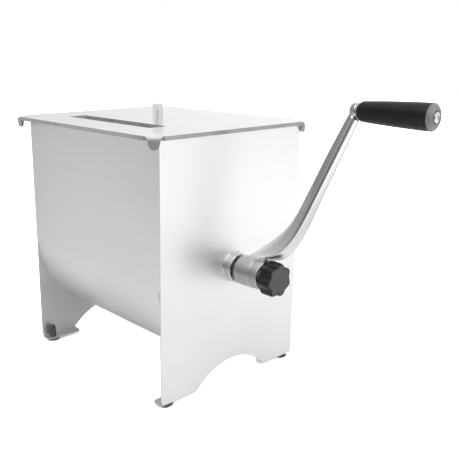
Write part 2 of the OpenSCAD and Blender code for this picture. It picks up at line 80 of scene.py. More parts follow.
scene = bpy.context.scene
lens = bpy.data.cameras.new("camera")
lens.sensor_width = SENSOR_WIDTH
lens.lens = FOCAL_LENGTH
lens.shift_x = SHIFT_X
lens.shift_y = SHIFT_Y
camera = bpy.data.objects.new("camera", lens)
scene.collection.objects.link(camera)
camera.matrix_world = view_matrix(CAMERA_PLACE, YAW, PITCH, ROLL)
scene.camera = camera
scene.view_settings.view_transform = "Standard"
print("camera at", tuple(round(c, 3) for c in camera.matrix_world.translation))

# %% [markdown]
# Bare metal shows mostly what stands around it. Here the room is a smooth gradient that
# depends only on the direction. It is brightest on the side that the front plate mirrors to
# the camera, and falls off to a grey on the opposite side, which the long wall mirrors. A
# darker patch lies low on the camera's own side, and the web and the hub end up showing it.
# All of it only lights the mixer and shows in its metal: past the mixer, the camera itself
# sees plain white.

# %% Room light
def link(tree, pairs):
    for out, into in pairs:
        tree.links.new(out, into)


BRIGHT_SIDE = (0.73, 0.68, 0)
LOW_CAMERA_SIDE = (0.70, -0.62, -0.35)


def slope(tree, source, side, start, end, low, high):
    """A tone that changes smoothly along one direction, from low to high."""
    along = tree.nodes.new("ShaderNodeVectorMath")
    along.operation = "DOT_PRODUCT"
    along.inputs[1].default_value = side
    tone = tree.nodes.new("ShaderNodeMapRange")
    tone.interpolation_type = "SMOOTHSTEP"
    for name, value in (("From Min", start), ("From Max", end), ("To Min", low), ("To Max", high)):
        tone.inputs[name].default_value = value
    link(tree, [(source, along.inputs[0]), (along.outputs["Value"], tone.inputs["Value"])])
    return tone.outputs[0]


def combine(tree, how, one, other):
    """Joins two tones by one operation."""
    node = tree.nodes.new("ShaderNodeMath")
    node.operation = how
    link(tree, [(one, node.inputs[0]), (other, node.inputs[1])])
    return node.outputs[0]


def room(dark, even, bright, near_camera):
    world = bpy.data.worlds.new("studio")
    scene.world = world
    world.use_nodes = True
    tree = world.node_tree
    tree.nodes.clear()
    new = tree.nodes.new
    where = new("ShaderNodeTexCoord").outputs["Generated"]
    sides = combine(tree, "MULTIPLY",
        slope(tree, where, BRIGHT_SIDE, start=-0.85, end=0.1, low=dark, high=even),
        slope(tree, where, BRIGHT_SIDE, start=0.1, end=0.9, low=1, high=bright / even))
    tone = combine(tree, "MULTIPLY", sides,
        slope(tree, where, LOW_CAMERA_SIDE, start=0.6, end=0.88, low=1, high=near_camera))
    around = new("ShaderNodeBackground")
    white = new("ShaderNodeBackground")
    path = new("ShaderNodeLightPath")
    both = new("ShaderNodeMixShader")
    out = new("ShaderNodeOutputWorld")
    link(tree, [(tone, around.inputs["Color"]), (path.outputs["Is Camera Ray"], both.inputs[0]),
        (around.outputs[0], both.inputs[1]), (white.outputs[0], both.inputs[2]),
        (both.outputs[0], out.inputs[0])])
    white.inputs["Color"].default_value = (1, 1, 1, 1)


room(dark=0.42, even=1.0, bright=1.2, near_camera=0.2)
print("room set")

# %% [markdown]
# Two soft boxes give the highlights a shape: a large one overhead, and a narrow one on the
# crank's side that draws a line along the arm. Both are weak, so a colour renders about as
# it is written.

# %% Lamps
def soft_box(name, place, aim, size, watts):
    """A rectangular area lamp that faces a point."""
    data = bpy.data.lights.new(name, "AREA")
    data.shape = "RECTANGLE"
    data.size, data.size_y = size
    data.energy = watts
    lamp = bpy.data.objects.new(name, data)
    scene.collection.objects.link(lamp)
    turn = (Vector(place) - Vector(aim)).to_track_quat("Z", "Y").to_matrix().to_4x4()
    lamp.matrix_world = Matrix.Translation(place) @ turn
    return lamp


middle = (0, 0, 0.2)
lamps = [
    soft_box("overhead_box", (0.1, -0.5, 1.35), middle, (0.9, 0.9), 5),
    soft_box("side_box", (1.25, 0.15, 0.75), middle, (0.25, 0.9), 1.6),
]
print("lamps:", [lamp.name for lamp in lamps])

# %% [markdown]
# The floor is a plain pale sheet. Its colour is raised for the camera only, so it reads as
# white while the soft shadow under the tank stays on it. Metal mirrors it in tones of its
# own: it grows brighter away from the front plate, and it is darker in two patches, one
# beyond the mixer as the camera sees it and one below and past the camera.

# %% Floor
CAMERA_SIDE = (0.75, -0.66, 0)
FAR_SIDE = (-0.7, 0.71, 0)
ALONG_Y = (0, 1, 0)


def floor_finish(plain, seen, behind, before, farther, near_camera, far):
    mat = bpy.data.materials.new("pale_floor")
    mat.use_nodes = True
    tree = mat.node_tree
    tree.nodes.clear()
    new = tree.nodes.new
    path = new("ShaderNodeLightPath")
    where = new("ShaderNodeTexCoord").outputs["Object"]
    sides = combine(tree, "MULTIPLY",
        slope(tree, where, BRIGHT_SIDE, start=-0.2, end=0.25, low=behind, high=before),
        slope(tree, where, BRIGHT_SIDE, start=0.3, end=1.2, low=1, high=farther / before))
    far_patch = combine(tree, "MAXIMUM",
        slope(tree, where, FAR_SIDE, start=0.4, end=0.55, low=1, high=far),
        slope(tree, where, ALONG_Y, start=-0.1, end=0.2, low=1, high=far))
    darker = combine(tree, "MULTIPLY", far_patch,
        slope(tree, where, CAMERA_SIDE, start=0.65, end=1.1, low=1, high=near_camera))
    mirrored = combine(tree, "MULTIPLY", sides, darker)
    in_metal = new("ShaderNodeMix")
    to_camera = new("ShaderNodeMix")
    in_metal.inputs["A"].default_value = plain
    to_camera.inputs["B"].default_value = seen
    paper = new("ShaderNodeBsdfDiffuse")
    out = new("ShaderNodeOutputMaterial")
    link(tree, [(mirrored, in_metal.inputs["B"]),
        (path.outputs["Is Glossy Ray"], in_metal.inputs["Factor"]),
        (in_metal.outputs[0], to_camera.inputs["A"]),
        (path.outputs["Is Camera Ray"], to_camera.inputs["Factor"]),
        (to_camera.outputs[0], paper.inputs["Color"]), (paper.outputs[0], out.inputs[0])])
    return mat


FLOOR_REACH = 6
bm = bmesh.new()
bmesh.ops.create_grid(bm, x_segments=8, y_segments=8, size=FLOOR_REACH)
floor_mesh = bpy.data.meshes.new("floor")
bm.to_mesh(floor_mesh)
bm.free()
floor_mesh.materials.append(floor_finish(plain=0.8, seen=2.6, behind=0.86, before=0.95,
    farther=1.9, near_camera=0.2, far=0.08))
floor = bpy.data.objects.new("floor", floor_mesh)
scene.collection.objects.link(floor)
print("floor laid")


# %% [markdown]
# ## Finishes
#
# Each finish is a Principled shader. What is the same all over sits on the shader's own
# socket. What varies comes from noise on Object coordinates: a slow noise for smudges in the
# roughness and the colour, and a fine one for the grain in the bump.

# %% Finish helpers
class Finish:
    """A material under construction: a Principled shader with its noise."""

    def __init__(self, name, **sockets):
        self.mat = bpy.data.materials.new(name)
        self.mat.use_nodes = True
        self.tree = self.mat.node_tree
        self.shader = self.tree.nodes["Principled BSDF"]
        spot = self.tree.nodes.new("ShaderNodeTexCoord")
        self.where, self.normal = spot.outputs["Object"], spot.outputs["Normal"]
        for socket, value in sockets.items():
            self.shader.inputs[socket.replace("_", " ")].default_value = value

    def noise(self, scale, stretch=(1, 1, 1), detail=4):
        """A noise on Object coordinates; a stretch below 1 draws it out along that axis."""
        placed = self.tree.nodes.new("ShaderNodeMapping")
        placed.inputs["Scale"].default_value = stretch
        cloud = self.tree.nodes.new("ShaderNodeTexNoise")
        cloud.inputs["Scale"].default_value = scale
        cloud.inputs["Detail"].default_value = detail
        link(self.tree, [(self.where, placed.inputs["Vector"]),
            (placed.outputs[0], cloud.inputs["Vector"])])
        return cloud.outputs["Fac"]

    def between(self, source, low, high, socket, start=0.35, end=0.65):
        """Spreads a source between two values of one of the shader's sockets."""
        spread = self.tree.nodes.new("ShaderNodeMapRange")
        for name, value in (("From Min", start), ("From Max", end), ("To Min", low), ("To Max", high)):
            spread.inputs[name].default_value = value
        link(self.tree, [(source, spread.inputs["Value"]),
            (spread.outputs[0], self.shader.inputs[socket])])

    def tint(self, source, dark, light, start=0.35, end=0.65):
        """Colours the shader by a source, and gives back the ramp for further stops."""
        ramp = self.tree.nodes.new("ShaderNodeValToRGB")
        for stop, place, tone in zip(ramp.color_ramp.elements, (start, end), (dark, light)):
            stop.position = place
            stop.color = (*tone, 1)
        link(self.tree, [(source, ramp.inputs[0]),
            (ramp.outputs[0], self.shader.inputs["Base Color"])])
        return ramp.color_ramp

    def paint_shade(self, share):
        """Scales the colour already in place, to paint shade into it."""
        weaker = self.tree.nodes.new("ShaderNodeVectorMath")
        weaker.operation = "SCALE"
        colour = self.shader.inputs["Base Color"]
        link(self.tree, [(colour.links[0].from_socket, weaker.inputs[0]),
            (share, weaker.inputs["Scale"]), (weaker.outputs[0], colour)])

    def bump(self, source, depth, after=None):
        """Adds a bump of a depth in metres, on top of an earlier one if there is one."""
        node = self.tree.nodes.new("ShaderNodeBump")
        node.inputs["Strength"].default_value = 1.0
        node.inputs["Distance"].default_value = depth
        link(self.tree, [(source, node.inputs["Height"]),
            (node.outputs[0], self.shader.inputs["Normal"])])
        if after is not None:
            link(self.tree, [(after, node.inputs["Normal"])])
        return node.outputs[0]


print("finish helpers ready")

# %% [markdown]
# The sheet steel has a fine satin grain from the rolling mill, along one direction. A noise
# that is stretched a hundred times along that direction makes the grain, so plates and
# trough need one finish each, because their grain runs along Y and along X.

# %% Satin sheet steel
def satin_sheet(name, stretch, tone=(0.80, 0.80, 0.805)):
    steel = Finish(name, Metallic=1.0)
    smudge = steel.noise(7, detail=3)
    grain = steel.noise(1400, stretch, detail=5)
    steel.tint(smudge, tuple(0.95 * t for t in tone), tone)
    steel.between(smudge, 0.43, 0.49, "Roughness")
    steel.bump(grain, 0.000012)
    return steel.mat


plate_steel = satin_sheet("satin_steel_plates", (1, 0.012, 1))
trough_steel = satin_sheet("satin_steel_trough", (0.012, 1, 1))
paddle_steel = satin_sheet("satin_steel_paddles", (1, 1, 0.03), (0.76, 0.76, 0.77))
print("satin steel:", plate_steel.name, trough_steel.name, paddle_steel.name)

# %% [markdown]
# Turned parts carry very fine rings around their axis, which read as a slightly stretched
# highlight. The welded seam is the same steel with a paler, rougher skin.
# The crank is a casting with small soft dents. Its colour changes with height: darker over
# the dull hub, a pale band over the web that is a painted highlight, and a mid grey up the
# arm, where the polish grows. The front corner on the arm's far side carries a painted shade,
# which draws its edge as a dark line.

# %% Turned, welded and cast metal
PAINTED_SHADE_CORNER = (0.87, 0.5, 0.0)
ALONG_Z = (0, 0, 1)
turned = Finish("turned_rings", Metallic=1.0)
rings = turned.noise(900, (1, 0.05, 0.05), detail=3)
turned.tint(turned.noise(30), (0.56, 0.56, 0.57), (0.64, 0.64, 0.65))
turned.between(turned.noise(60), 0.2, 0.3, "Roughness")
turned.bump(rings, 0.00001)
turned_steel = turned.mat

seam = Finish("weld_steel", Metallic=1.0)
seam.tint(seam.noise(260), (0.62, 0.61, 0.6), (0.76, 0.76, 0.75))
seam.between(seam.noise(400), 0.32, 0.48, "Roughness")
weld_steel = seam.mat

casting = Finish("polished_casting", Metallic=1.0)
up_the_arm = slope(casting.tree, casting.where, ALONG_Z, start=0.17, end=0.25, low=0, high=1)
# Colour by height: darker at the hub, a painted highlight as a pale band over the web, mid grey up the
# arm.
ramp = casting.tint(up_the_arm, (0.46, 0.46, 0.465), (0.56, 0.56, 0.57), 0.02, 1)
ramp.elements.new(0.1).color = (0.78, 0.78, 0.79, 1)
# Painted shade: faces turned to the front corner on the arm's far side drop to 0.45 of their colour.
casting.paint_shade(slope(casting.tree, casting.normal, PAINTED_SHADE_CORNER, start=0.78, end=0.98, low=1, high=0.45))
casting.between(up_the_arm, 0.36, 0.14, "Roughness", 0.1, 0.9)
dents = casting.bump(casting.noise(140, detail=2), 0.00006)
casting.bump(casting.noise(1500, detail=3), 0.000008, after=dents)
cast_metal = casting.mat
print("metals:", turned_steel.name, weld_steel.name, cast_metal.name)

# %% [markdown]
# The plastics and the rubber are mostly nearly black, and what the eye reads is their skin: a
# soft moulded grain on the grip, a smoother one on the knob, and a dull dusty one on the
# feet. The cap in the grip's end is grey. The bushes and the knob's insert use the same recipe.

# %% Plastics and rubber
def moulded(name, tone, rough, grain_scale, depth, **sockets):
    skin = Finish(name, **sockets)
    skin.tint(skin.noise(80), tuple(0.8 * t for t in tone), tuple(1.15 * t for t in tone))
    skin.between(skin.noise(150), rough[0], rough[1], "Roughness")
    skin.bump(skin.noise(grain_scale, detail=2), depth)
    return skin.mat


grip_plastic = moulded("grip_skin", (0.0045, 0.0045, 0.005), (0.36, 0.46), 1800, 0.00003,
    Specular_IOR_Level=0.33)
black_plastic = moulded("knob_plastic", (0.005, 0.005, 0.0055), (0.3, 0.42), 1500, 0.00003,
    Specular_IOR_Level=0.35)
cap_plastic = moulded("grip_cap_plastic", (0.2, 0.2, 0.203), (0.3, 0.4), 1500, 0.00002)
grey_plastic = moulded("knob_cover_plastic", (0.05, 0.05, 0.052), (0.42, 0.5), 1500, 0.00002)
rubber = moulded("foot_rubber", (0.08, 0.08, 0.082), (0.6, 0.75), 900, 0.00005)
nylon = moulded("nylon_bush", (0.78, 0.77, 0.73), (0.35, 0.45), 1200, 0.00001, Subsurface_Weight=0.1)
brass = moulded("brass_insert", (0.62, 0.46, 0.22), (0.25, 0.35), 900, 0.00001, Metallic=1.0)
moulded_finishes = (grip_plastic, cap_plastic, black_plastic, grey_plastic, rubber, nylon, brass)
print("plastics, rubber and the insert:", [finish.name for finish in moulded_finishes])

# %% [markdown]
# The lid is a clear acrylic sheet that washing has clouded: most of the light still passes,
# some is scattered white, and the surface keeps its gloss. Its upright faces carry a painted
# shade: their colour is darker, standing in for the dark line that a cut edge shows. Its shader
# turns transparent for shadow rays, because it would otherwise cast a solid shadow.

# %% Clear sheet
def clear(name, tone, edge, rough, passes):
    """A clouded clear sheet: tone on its flat faces, edge on its upright ones as painted shade."""
    sheet = Finish(name, Transmission_Weight=passes, IOR=1.49, Coat_Weight=1.0,
        Coat_Roughness=0.04, Coat_IOR=1.45)
    sheet.between(sheet.noise(20), rough[0], rough[1], "Roughness")
    tree = sheet.tree
    facing = tree.nodes.new("ShaderNodeSeparateXYZ")
    level = tree.nodes.new("ShaderNodeMath")
    level.operation = "ABSOLUTE"
    link(tree, [(sheet.normal, facing.inputs[0]), (facing.outputs[2], level.inputs[0])])
    # Painted shade: upright faces take the darker edge colour, flat faces the tone.
    sheet.tint(level.outputs[0], edge, tone, 0.5, 0.9)
    path = tree.nodes.new("ShaderNodeLightPath")
    through = tree.nodes.new("ShaderNodeBsdfTransparent")
    through.inputs["Color"].default_value = (*(0.95 * t for t in tone), 1)
    both = tree.nodes.new("ShaderNodeMixShader")
    link(tree, [(path.outputs["Is Shadow Ray"], both.inputs[0]),
        (sheet.shader.outputs[0], both.inputs[1]), (through.outputs[0], both.inputs[2]),
        (both.outputs[0], tree.nodes["Material Output"].inputs[0])])
    return sheet.mat


clear_sheet = clear("clear_acrylic", tone=(0.86, 0.865, 0.87), edge=(0.4, 0.41, 0.41),
    rough=(0.12, 0.16), passes=0.6)
clear_rod = clear("clear_acrylic_rod", tone=(0.93, 0.935, 0.94), edge=(0.88, 0.885, 0.89),
    rough=(0.1, 0.15), passes=0.6)
print("clear sheet:", clear_sheet.name, clear_rod.name)

# %% [markdown]
# ## Shapes
#
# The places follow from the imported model: the shaft's axis, the plates' outer faces, the
# feet and the lid's knob. The crank's radius and its lean at rest are written here. Pieces
# that turn with the crank are built with their axis along X at the origin, and one matrix
# carries them to their place.

# %% Main places
MM = 0.001
CRANK_LEAN = radians(22)
CRANK_RADIUS = 0.2165
plate_lo, plate_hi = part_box("front_end_plate")
rear_lo, rear_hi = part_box("rear_end_plate")
tank_y = (plate_lo.y + plate_hi.y) / 2
front_x, rear_x = plate_hi.x, rear_lo.x
bush_lo, bush_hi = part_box("front_bush")
axis_z = (bush_lo.z + bush_hi.z) / 2
to_shaft = Matrix.Translation((front_x, tank_y, axis_z))
to_crank = to_shaft @ Matrix.Rotation(-CRANK_LEAN, 4, "X")
raised = Matrix.Translation((0, 0, CRANK_RADIUS))
to_rear = Matrix.Translation((rear_x, tank_y, axis_z)) @ Matrix.Rotation(pi, 4, "Z")
print("shaft axis at y %.4f z %.4f, plates at x %.4f and %.4f" % (tank_y, axis_z, front_x, rear_x))

# %% [markdown]
# Every piece goes through the same last steps: its doubles are merged, its normals point
# outwards, its faces shade smooth up to a sharp edge, and its place is put in its mesh.

# %% Piece helpers
SHARP = 32


def shade(mesh, angle=SHARP):
    """Shades a mesh smooth except where its faces meet at more than an angle."""
    mesh.shade_smooth()
    mesh.set_sharp_from_angle(angle=radians(angle))


def merge(bm):
    """Joins doubled points and turns the faces outwards."""
    bmesh.ops.remove_doubles(bm, verts=bm.verts, dist=1e-7)
    bmesh.ops.recalc_face_normals(bm, faces=bm.faces)


def build(name, verts, faces, place=Matrix.Identity(4)):
    """A mesh from points and faces, merged, turned outwards and set in place."""
    bm = bmesh.new()
    for v in verts:
        bm.verts.new(v)
    bm.verts.ensure_lookup_table()
    for face in faces:
        try:
            bm.faces.new([bm.verts[i] for i in face])
        except ValueError:  # the same face twice: one is enough
            pass
    merge(bm)
    bmesh.ops.transform(bm, matrix=place, verts=bm.verts)
    mesh = bpy.data.meshes.new(name)
    bm.to_mesh(mesh)
    bm.free()
    shade(mesh)
    return mesh


def solid(name, mesh):
    ob = bpy.data.objects.new(name, mesh)
    scene.collection.objects.link(ob)
    return ob


def result(ob):
    """The mesh that an object's modifiers make of it."""
    bpy.context.view_layer.update()
    return bpy.data.meshes.new_from_object(ob.evaluated_get(bpy.context.evaluated_depsgraph_get()))


def settle(ob, angle=SHARP):
    """Turns an object's modifiers into a plain mesh; an angle of 0 keeps its shading."""
    done = result(ob)
    ob.modifiers.clear()
    ob.data = done
    if angle:
        shade(done, angle)
    return ob


def piece(ob, finish, body, slot, *nodes):
    """Gives a finished object its material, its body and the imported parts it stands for."""
    ob.data.materials.clear()
    ob.data.materials.append(finish)
    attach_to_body(ob, body)
    if nodes:
        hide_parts(*nodes)
    print(ob.name, "rides on", body, "with", len(ob.data.polygons), "faces")
    return ob


# %% [markdown]
# A turned part is a profile spun about its axis. On the real part no corner is quite
# sharp, so each corner of the profile is rounded with a small arc first.

# %% Turned shapes
NEARLY_STRAIGHT = 1.5


def rounded(points, radius, steps=4):
    """Rounds the corners of an open line of (x, r) points; one may give its own radius third."""
    line = [(points[0][0], points[0][1])]
    for before, here, after in zip(points, points[1:], points[2:]):
        size = here[2] if len(here) > 2 else radius
        p, a, b = Vector(here[:2]), Vector(before[:2]), Vector(after[:2])
        to_a, to_b = a - p, b - p
        if size <= 0 or to_a.length < 1e-9 or to_b.length < 1e-9:
            line.append(tuple(p))
            continue
        half = to_a.angle(to_b) / 2
        reach = 0
        if half < NEARLY_STRAIGHT:
            reach = min(size / math.tan(half), to_a.length * 0.49, to_b.length * 0.49)
        if reach < 1e-6:
            line.append(tuple(p))
            continue
        start, end = p + to_a.normalized() * reach, p + to_b.normalized() * reach
        for k in range(steps + 1):
            t = k / steps
            line.append(tuple(start * (1 - t) ** 2 + p * 2 * t * (1 - t) + end * t * t))
    line.append((points[-1][0], points[-1][1]))
    return line


def turn_x(line, steps=96, closed=False):
    """Points and faces of an (x, r) line spun about X; a closed line makes a ring."""
    verts = [(x * MM, r * MM * cos(2 * pi * k / steps), r * MM * sin(2 * pi * k / steps))
        for x, r in line for k in range(steps)]
    rows = len(line)
    faces = []
    for i in range(rows if closed else rows - 1):
        j = (i + 1) % rows
        for k in range(steps):
            n = (k + 1) % steps
            faces.append((i * steps + k, i * steps + n, j * steps + n, j * steps + k))
    return verts, faces


def turned_piece(name, points, radius, place, steps=96, closed=False):
    """An object turned from a rounded profile and set in place."""
    line = rounded(points + points[:2], radius)[1:-1] if closed else rounded(points, radius)
    mesh = build(name, *turn_x(line, steps, closed), place)
    return solid(name, mesh)


print("turned shapes ready")

# %% [markdown]
# Geometry Nodes trees are built by a small helper: it makes a tree with a geometry going
# in and out and one named input for each size. Running it sets the modifier's inputs by
# their identifiers, keeps the result as a plain mesh and removes the modifier.

# %% Geometry Nodes helpers
class Tree:
    """A Geometry Nodes tree with named inputs."""

    def __init__(self, name, **sizes):
        self.group = bpy.data.node_groups.new(name, "GeometryNodeTree")
        face = self.group.interface
        face.new_socket("Geometry", in_out="INPUT", socket_type="NodeSocketGeometry")
        face.new_socket("Geometry", in_out="OUTPUT", socket_type="NodeSocketGeometry")
        face.new_socket("Finish", in_out="INPUT", socket_type="NodeSocketMaterial")
        for size, value in sizes.items():
            kind = "NodeSocketInt" if isinstance(value, int) else "NodeSocketFloat"
            face.new_socket(size, in_out="INPUT", socket_type=kind).default_value = value
        self.start = self.group.nodes.new("NodeGroupInput")
        self.end = self.group.nodes.new("NodeGroupOutput")

    def node(self, kind, *inputs, **settings):
        """Adds a node; inputs are (socket name or number, a value or another node's output)."""
        made = self.group.nodes.new(kind)
        for setting, value in settings.items():
            setattr(made, setting, value)
        for socket, value in inputs:
            if isinstance(value, bpy.types.NodeSocket):
                self.group.links.new(value, made.inputs[socket])
            else:
                made.inputs[socket].default_value = value
        return made

    def math(self, operation, a, b=0.0):
        """The output of one arithmetic node."""
        return self.node("ShaderNodeMath", (0, a), (1, b), operation=operation).outputs[0]

    def size(self, name):
        return self.start.outputs[name]

    def close(self, geometry):
        """Ends the tree: instances made real, and the finish set."""
        whole = self.node("GeometryNodeRealizeInstances", (0, geometry)).outputs[0]
        coated = self.node("GeometryNodeSetMaterial", ("Geometry", whole),
            ("Material", self.size("Finish")))
        self.group.links.new(coated.outputs[0], self.end.inputs[0])


def attach(ob, tree, **values):
    """Puts a tree on an object as a modifier and sets its named inputs."""
    step = ob.modifiers.new(tree.group.name, "NODES")
    step.node_group = tree.group
    for item in tree.group.interface.items_tree:
        if item.in_out == "INPUT" and item.name in values:
            step[item.identifier] = values[item.name]


def grow(ob, tree, finish, angle=SHARP, **sizes):
    """Runs a tree on an object and keeps its result as a plain mesh."""
    attach(ob, tree, Finish=finish, **sizes)
    return settle(ob, angle)


print("tree helpers ready")

# %% [markdown]
# ### End plates
#
# Each end plate is laser-cut sheet with two legs and a flange folded in under each leg.
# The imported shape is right, but its edges are perfectly sharp. A copy with its triangles
# joined into flat faces takes a small bevel, which gives the cut edges their bright line. Its
# shading is weighted by area, so a large flat face stays flat beside its bevel.

# %% Eased copies
FLAT = radians(0.5)
EASED_FROM = radians(35)


def eased(name, node, width):
    """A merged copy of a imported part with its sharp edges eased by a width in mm."""
    source = frame["nodes"][node].data
    verts = [v.co.copy() for v in source.vertices]
    faces = [tuple(p.vertices) for p in source.polygons]
    mesh = build(name, verts, faces)
    bm = bmesh.new()
    bm.from_mesh(mesh)
    bmesh.ops.dissolve_limit(bm, angle_limit=FLAT, verts=bm.verts, edges=bm.edges)
    bm.to_mesh(mesh)
    bm.free()
    ob = solid(name, mesh)
    ease = ob.modifiers.new("ease", "BEVEL")
    ease.width = width * MM
    ease.segments = 2
    ease.limit_method = "ANGLE"
    ease.angle_limit = EASED_FROM
    settle(ob, angle=40)
    even = ob.modifiers.new("even", "WEIGHTED_NORMAL")
    even.keep_sharp = True
    return settle(ob, angle=0)


for end in ("front", "rear"):
    plate = eased(f"{end}_plate_sheet", f"{end}_end_plate", 0.3)
    piece(plate, plate_steel, "tank", "stainless_sheet", f"{end}_end_plate")

# %% [markdown]
# ### Trough
#
# The trough is one sheet bent into a U about the shaft's axis. Geometry Nodes follow the
# same rule: a line of four corners whose two lower corners are filleted with the radius of
# the trough, swept with a thin rectangle as wide as the tank is long.

# %% Trough
sheet = 1.5 * MM
sheet_corner = 0.3 * MM
half_w = (plate_hi.y - plate_lo.y) / 2
tank_top = plate_hi.z
inner_len = front_x - rear_x - 2 * sheet

bend = Tree("bent_sheet", **{"Bend radius": 0.12, "Length": 0.28, "Thickness": 0.0015, "Steps": 64})
path = bend.node("GeometryNodeFilletCurve", ("Curve", bend.start.outputs[0]),
    ("Radius", bend.size("Bend radius")), ("Count", bend.size("Steps")), mode="POLY")
edge = bend.node("GeometryNodeCurvePrimitiveQuadrilateral", ("Width", bend.size("Length")),
    ("Height", bend.size("Thickness")))
eased_edge = bend.node("GeometryNodeFilletCurve", ("Curve", edge.outputs[0]),
    ("Radius", sheet_corner), ("Count", 2), mode="POLY")
swept = bend.node("GeometryNodeCurveToMesh", ("Curve", path.outputs[0]),
    ("Profile Curve", eased_edge.outputs[0]), ("Fill Caps", True))
bend.close(swept.outputs[0])


def line_through(name, points):
    """Curve data that is one line of straight steps."""
    data = bpy.data.curves.new(name, "CURVE")
    data.dimensions = "3D"
    spline = data.splines.new("POLY")
    spline.points.add(len(points) - 1)
    for point, place in zip(spline.points, points):
        point.co = (*place, 1)
    return data


def tree_on_line(name, points, tree, finish, angle=SHARP, **sizes):
    """Runs a tree on a line of points; the result is a mesh object."""
    curve = bpy.data.objects.new(name + "_path", line_through(name, points))
    scene.collection.objects.link(curve)
    attach(curve, tree, Finish=finish, **sizes)
    mesh = result(curve)
    bpy.data.objects.remove(curve)
    bm = bmesh.new()
    bm.from_mesh(mesh)
    merge(bm)
    bm.to_mesh(mesh)
    bm.free()
    shade(mesh, angle)
    return solid(name, mesh)


mid = half_w - sheet / 2
mid_x = (front_x + rear_x) / 2
corners = [(mid_x, tank_y - mid, tank_top), (mid_x, tank_y - mid, axis_z - mid),
    (mid_x, tank_y + mid, axis_z - mid), (mid_x, tank_y + mid, tank_top)]
trough = tree_on_line("trough_sheet", corners, bend, trough_steel,
    **{"Bend radius": mid, "Length": inner_len, "Thickness": sheet})
piece(trough, trough_steel, "tank", "stainless_sheet", "trough_shell")
print("trough box", [round(v, 4) for v in trough.dimensions])

# %% [markdown]
# ### Weld beads
#
# The round belly of the trough meets each plate at a right angle, and a welder runs a row
# of small overlapping beads along that corner. Geometry Nodes place a flattened ball at
# every step of the seam, tipped along the path and slightly uneven, from a fixed seed.

# %% Weld seams
run = Tree("weld_run", **{"Bead pitch": 0.0018, "Bead size": 0.0017, "Unevenness": 0.12, "Seed": 7})
steps = run.node("GeometryNodeResampleCurve", ("Curve", run.start.outputs[0]),
    ("Length", run.size("Bead pitch")), mode="LENGTH")
bead = run.node("GeometryNodeMeshUVSphere", ("Segments", 8), ("Rings", 6),
    ("Radius", run.size("Bead size")))
flat = run.node("GeometryNodeTransform", ("Geometry", bead.outputs[0]), ("Scale", (1.0, 1.0, 0.7)))
tangent = run.node("GeometryNodeInputTangent")
turned_to = run.node("FunctionNodeAlignRotationToVector", ("Vector", tangent.outputs[0]), axis="Z")
least = run.math("SUBTRACT", 1.0, run.size("Unevenness"))
most = run.math("ADD", 1.0, run.size("Unevenness"))
uneven = run.node("FunctionNodeRandomValue", (2, least), (3, most), ("Seed", run.size("Seed")),
    data_type="FLOAT")
row = run.node("GeometryNodeInstanceOnPoints", ("Points", steps.outputs[0]),
    ("Instance", flat.outputs[0]), ("Rotation", turned_to.outputs[0]), ("Scale", uneven.outputs[1]))
smooth_row = run.node("GeometryNodeSetShadeSmooth", (0, row.outputs[0]))
run.close(smooth_row.outputs[0])

round_belly = [radians(degrees) for degrees in range(-86, 87, 2)]
for end, x in (("front", front_x - sheet - MM), ("rear", rear_x + sheet + MM)):
    arc = [(x, tank_y + half_w * sin(a), axis_z - half_w * cos(a)) for a in round_belly]
    weld = tree_on_line(f"{end}_weld", arc, run, weld_steel, angle=80)
    piece(weld, weld_steel, "tank", "stainless_sheet")

# %% [markdown]
# ### Bearing housings
#
# Both housings are turned from bar and welded into their plate: a flange against the
# plate, a waist, and a crisp outer ring whose bevel catches the light. A small fillet of
# weld closes the corner between flange and plate.

# %% Bearing housings
def housing_line(depth, bore):
    """A housing's profile, with the depth and the radius of the bore in its outer face."""
    return [(-8.5, 12), (-8.5, 16), (-0.2, 16), (-0.2, 20.6), (0.6, 20.3), (1.2, 19.5),
        (2.5, 19.5, 0.3), (2.8, 18.4), (8.4, 18.4), (8.7, 19.5, 0.3), (10.5, 19.5), (11.5, 18.3),
        (11.5, bore), (depth, bore), (depth, 12)]


for end, place, depth, bore in (("front", to_shaft, 9.5, 9.5), ("rear", to_rear, 8.5, 3)):
    shell = turned_piece(f"{end}_housing", housing_line(depth, bore), 0.35, place, closed=True)
    piece(shell, turned_steel, "tank", "turned_steel", f"{end}_bearing_housing")

# %% [markdown]
# ### Feet
#
# Four push-in rubber feet stand under the flanges. One foot is turned once, and Geometry
# Nodes set it on the four places, with the distances between them as inputs.

# %% Feet
foot_lo, foot_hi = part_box("foot_front_near")
foot_far, foot_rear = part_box("foot_front_far"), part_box("foot_rear_near")
foot_line = [(0, 0), (0, 8.4), (0.4, 9.4), (1.3, 10), (3.2, 10, 0.7), (3.97, 9.2), (3.97, 3.5),
    (5.55, 3.5), (5.55, 4.8), (7.5, 4.8), (20.5, 3.8), (22.5, 2.3), (22.5, 0)]
upright = Matrix.Rotation(-pi / 2, 4, "Y")
foot_mesh = build("foot", *turn_x(rounded(foot_line, 0.4), 48), upright)
feet = solid("rubber_feet", foot_mesh)
stand = Tree("four_feet", **{"Length apart": 0.27, "Width apart": 0.2, "Middle X": 0.0,
    "Middle Y": 0.0})
spots = stand.node("GeometryNodeMeshGrid", ("Size X", stand.size("Length apart")),
    ("Size Y", stand.size("Width apart")), ("Vertices X", 2), ("Vertices Y", 2))
middle_of_feet = stand.node("ShaderNodeCombineXYZ", (0, stand.size("Middle X")),
    (1, stand.size("Middle Y")))
moved = stand.node("GeometryNodeTransform", ("Geometry", spots.outputs[0]),
    ("Translation", middle_of_feet.outputs[0]))
four = stand.node("GeometryNodeInstanceOnPoints", ("Points", moved.outputs[0]),
    ("Instance", stand.start.outputs[0]))
stand.close(four.outputs[0])
front_foot_x = (foot_lo.x + foot_hi.x) / 2
rear_foot_x = (foot_rear[0].x + foot_rear[1].x) / 2
near_foot_y = (foot_lo.y + foot_hi.y) / 2
far_foot_y = (foot_far[0].y + foot_far[1].y) / 2
